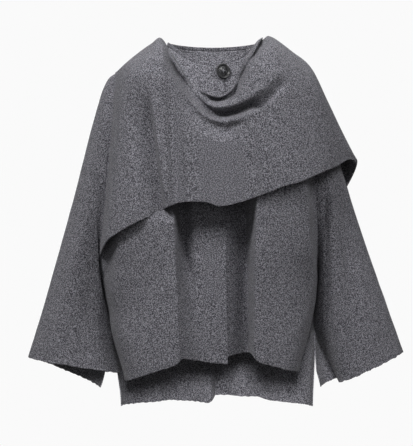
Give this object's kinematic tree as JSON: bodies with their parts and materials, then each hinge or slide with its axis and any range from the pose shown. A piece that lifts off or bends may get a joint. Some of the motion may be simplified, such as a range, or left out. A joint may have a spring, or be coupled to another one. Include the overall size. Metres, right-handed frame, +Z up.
{
  "type": "knit coat",
  "caption": "Worn, hollow knit coat: crew neck, lapped front, side slits, wide bell sleeves and a draped shawl panel over one shoulder.",
  "frame": {"origin": "on the shoulder line, midway between the shoulder seams, where the wearer carries the coat; the mount worn_on_shoulders", "axes": "+X to the wearer's left, +Y to the wearer's back, +Z up along the standing wearer"},
  "size_m": [0.7316, 0.2841, 0.7247],
  "materials": {
    "cloth": "felted wool knit, dark grey marl, soft and matt",
    "binding": "fine rib knit, dark grey marl, matt",
    "button": "dark horn-look resin, softly polished"
  },
  "bodies": {
    "root": {"front_right": "cloth", "front_left": "cloth", "back": "cloth", "neckband": "binding", "sleeve_right_front": "cloth", "sleeve_right_back": "cloth", "sleeve_left_front": "cloth", "sleeve_left_back": "cloth", "scarf_front": "cloth", "scarf_back": "cloth", "button": "button"}
  },
  "joints": []
}
